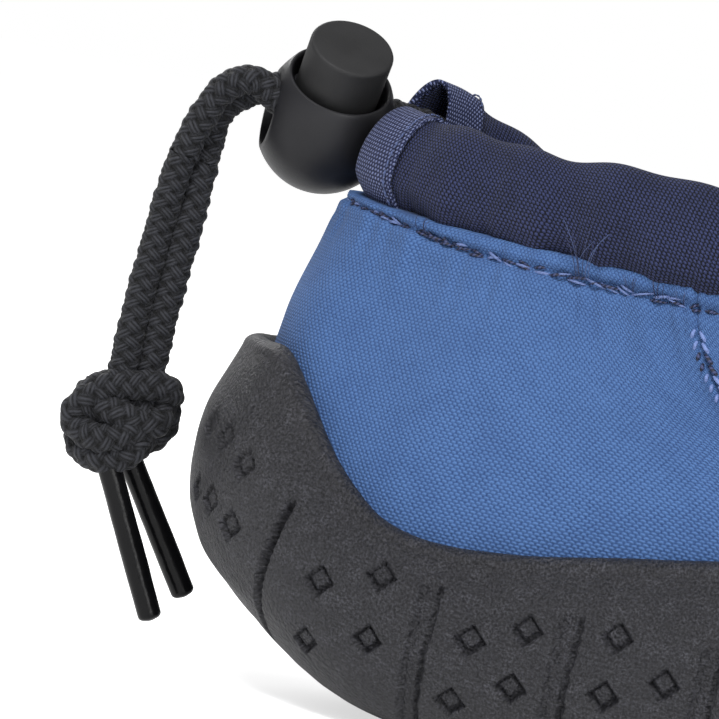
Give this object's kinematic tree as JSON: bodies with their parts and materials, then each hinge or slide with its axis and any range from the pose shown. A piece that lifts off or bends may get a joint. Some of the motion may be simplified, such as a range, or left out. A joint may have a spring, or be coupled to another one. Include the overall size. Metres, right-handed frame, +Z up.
{
  "type": "neoprene water boot",
  "caption": "Low-cut neoprene water boot for the right foot, with a rubber cup sole, knit collar, and heel drawcord with a ball cord lock.",
  "frame": {"origin": "on the ground under the centre of the heel, on the flat tread", "axes": "+X towards the toe, +Z up, lateral (outer) side at -Y"},
  "size_m": [0.2894, 0.0952, 0.0926],
  "materials": {
    "rubber": "fine leather-like grain, matt",
    "neoprene": "royal blue knit face on neoprene",
    "knit": "navy interlock knit",
    "ribbon": "navy grosgrain ribbon",
    "lining": "dark knit cloth",
    "foam": "closed-cell foam",
    "board": "non-woven insole board",
    "thread": "sewing thread",
    "cord": "round braided cord",
    "cord_tip": "glossy heat-shrunk sleeve",
    "lock_barrel": "satin moulded",
    "lock_button": "matt moulded",
    "spring_steel": "bright wire"
  },
  "bodies": {
    "boot": {"outsole": "rubber", "insole_board": "board", "footbed": "foam", "footbed_cloth": "lining", "quarter_panel": "neoprene", "vamp_panel": "neoprene", "collar_channel": "knit", "ribbon_end_lateral": "ribbon", "ribbon_end_medial": "ribbon", "side_seam_thread_lateral": "thread", "side_seam_thread_medial": "thread", "collar_seam_thread": "thread", "drawcord_loop": "cord"},
    "cord_lock": {"cord_lock_barrel": "lock_barrel", "cord_lock_spring": "spring_steel", "cord_feed_lateral": "cord", "cord_feed_medial": "cord"},
    "plunger": {"cord_lock_plunger": "lock_button"},
    "cord_run": {"cord_run_lateral": "cord", "cord_run_medial": "cord"},
    "tail_arc": {"cord_arc_lateral": "cord", "cord_arc_medial": "cord"},
    "tail_hang": {"cord_hang_lateral": "cord", "cord_hang_medial": "cord", "cord_knot": "cord"},
    "tip_long": {"cord_tip_long": "cord_tip"},
    "tip_short": {"cord_tip_short": "cord_tip"}
  },
  "joints": [
    {"name": "lock_swing", "type": "hinge", "parent": "boot", "child": "cord_lock", "pos_m": [-0.01754, 0.00437, 0.08055], "axis": [-0.4067, 0.9135, 0], "range_deg": [0, 25]},
    {"name": "plunger_press", "type": "slide", "parent": "cord_lock", "child": "plunger", "axis": [-0.2702, 0.5384, -0.7981], "range_m": [0, 0.0035], "stiffness_N_per_m": 900, "springref_m": -0.001, "deforming": ["cord_lock_spring"]},
    {"name": "cord_pull", "type": "slide", "parent": "cord_lock", "child": "cord_run", "axis": [-0.913, -0.4065, 0.0349], "range_m": [0, 0.008]},
    {"name": "tail_swing", "type": "hinge", "parent": "cord_run", "child": "tail_arc", "pos_m": [-0.03709, -0.00433, 0.0813], "axis": [-0.4067, 0.9135, 0], "range_deg": [-3, 38]},
    {"name": "tail_sway", "type": "hinge", "parent": "tail_arc", "child": "tail_hang", "pos_m": [-0.04325, -0.00708, 0.0584], "axis": [-0.9135, -0.4067, 0], "range_deg": [-14, 14]},
    {"name": "tip_long_bend", "type": "hinge", "parent": "tail_hang", "child": "tip_long", "pos_m": [-0.04433, -0.0092, 0.0246], "axis": [-0.4067, 0.9135, 0], "range_deg": [-12, 12]},
    {"name": "tip_short_bend", "type": "hinge", "parent": "tail_hang", "child": "tip_short", "pos_m": [-0.04247, -0.00454, 0.0254], "axis": [-0.4067, 0.9135, 0], "range_deg": [-12, 12]}
  ]
}
